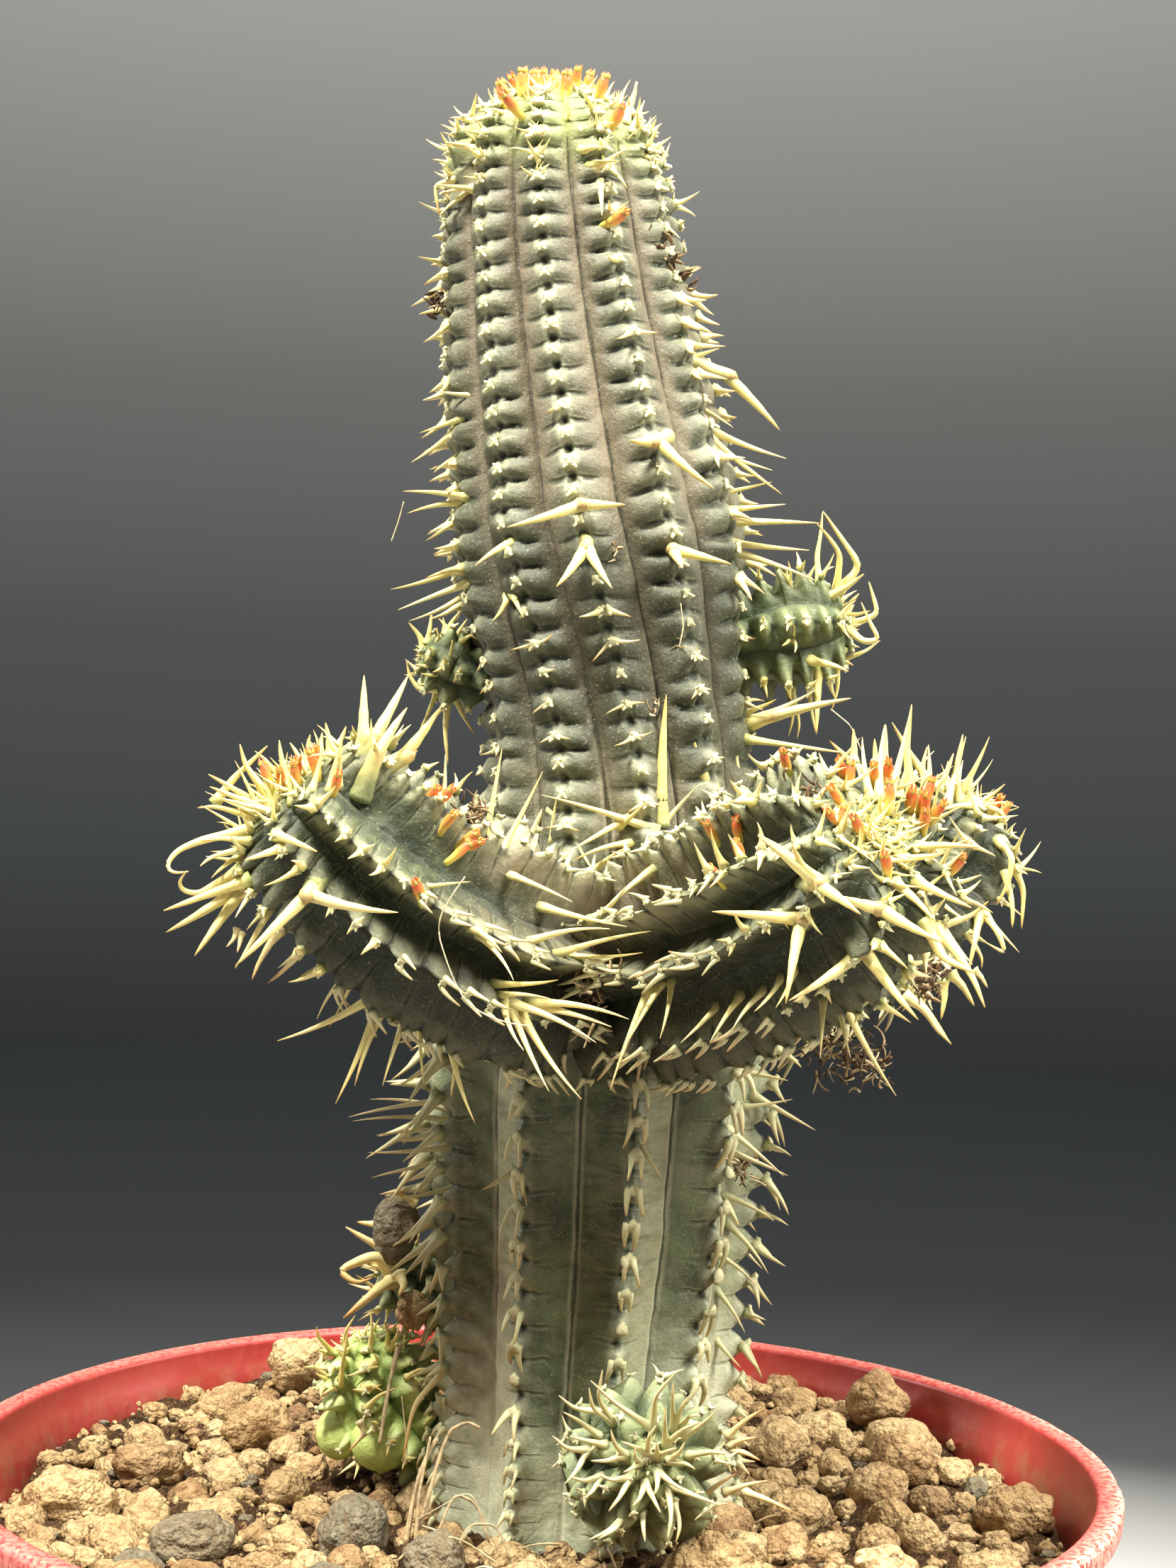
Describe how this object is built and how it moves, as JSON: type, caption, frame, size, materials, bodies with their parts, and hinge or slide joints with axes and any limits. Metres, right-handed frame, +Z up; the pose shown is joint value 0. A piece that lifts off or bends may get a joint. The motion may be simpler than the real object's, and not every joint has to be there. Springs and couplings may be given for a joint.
{
  "type": "potted euphorbia",
  "caption": "Spiny ribbed columnar succulent with side arms, small offsets and orange flower buds, growing in gritty mix in a round red plastic nursery pot.",
  "frame": {"origin": "centre of the pot's foot, on the surface that the pot stands on", "axes": "+Z up, -Y towards the side with the two front arms, +X to the right seen from that side"},
  "size_m": [0.2, 0.2, 0.3887],
  "materials": {
    "pot_plastic": "moulded plastic, satin, scuffed on the lip",
    "mix": "gritty mineral potting mix, matte",
    "stem_skin": "grey-green waxy skin with pale bloom",
    "arm_skin": "dark grey-green waxy skin, corky where old",
    "fresh_skin": "fresh yellow-green waxy skin",
    "pumice": "rough tan pumice",
    "grey_stone": "rough grey stone",
    "spine": "dry horny spine, cream-yellow with tan tips",
    "bud": "small orange-red flower bud"
  },
  "bodies": {
    "root": {"pot": "pot_plastic", "potting_mix": "mix", "main_stem": "stem_skin", "left_arm": "arm_skin", "right_arm": "arm_skin", "rear_arm": "arm_skin", "offset_upper_left": "arm_skin", "offset_upper_right": "arm_skin", "offset_base_front": "arm_skin", "offset_base_left": "fresh_skin", "offset_back_left": "arm_skin", "stone_01": "pumice", "stone_02": "grey_stone", "stone_03": "grey_stone", "stone_04": "pumice", "stone_05": "pumice", "stone_06": "grey_stone", "stone_07": "pumice", "stone_08": "pumice", "stone_09": "pumice", "stone_10": "pumice", "stone_11": "pumice", "stone_12": "pumice", "stone_13": "pumice", "stone_14": "pumice", "stone_15": "pumice", "stone_16": "pumice", "wedged_stone_dark": "grey_stone", "wedged_stone_brown": "pumice", "forked_spine_01": "spine", "forked_spine_02": "spine", "forked_spine_03": "spine", "forked_spine_04": "spine", "forked_spine_05": "spine", "forked_spine_06": "spine", "forked_spine_07": "spine", "forked_spine_08": "spine", "forked_spine_09": "spine", "forked_spine_10": "spine", "forked_spine_11": "spine", "forked_spine_12": "spine", "forked_spine_13": "spine", "forked_spine_14": "spine", "forked_spine_15": "spine", "forked_spine_16": "spine", "forked_spine_17": "spine", "forked_spine_18": "spine", "flower_bud_01": "bud", "flower_bud_02": "bud", "flower_bud_03": "bud", "flower_bud_04": "bud", "flower_bud_05": "bud", "flower_bud_06": "bud", "flower_bud_07": "bud", "flower_bud_08": "bud", "flower_bud_09": "bud", "flower_bud_10": "bud", "flower_bud_11": "bud", "flower_bud_12": "bud"}
  },
  "joints": []
}
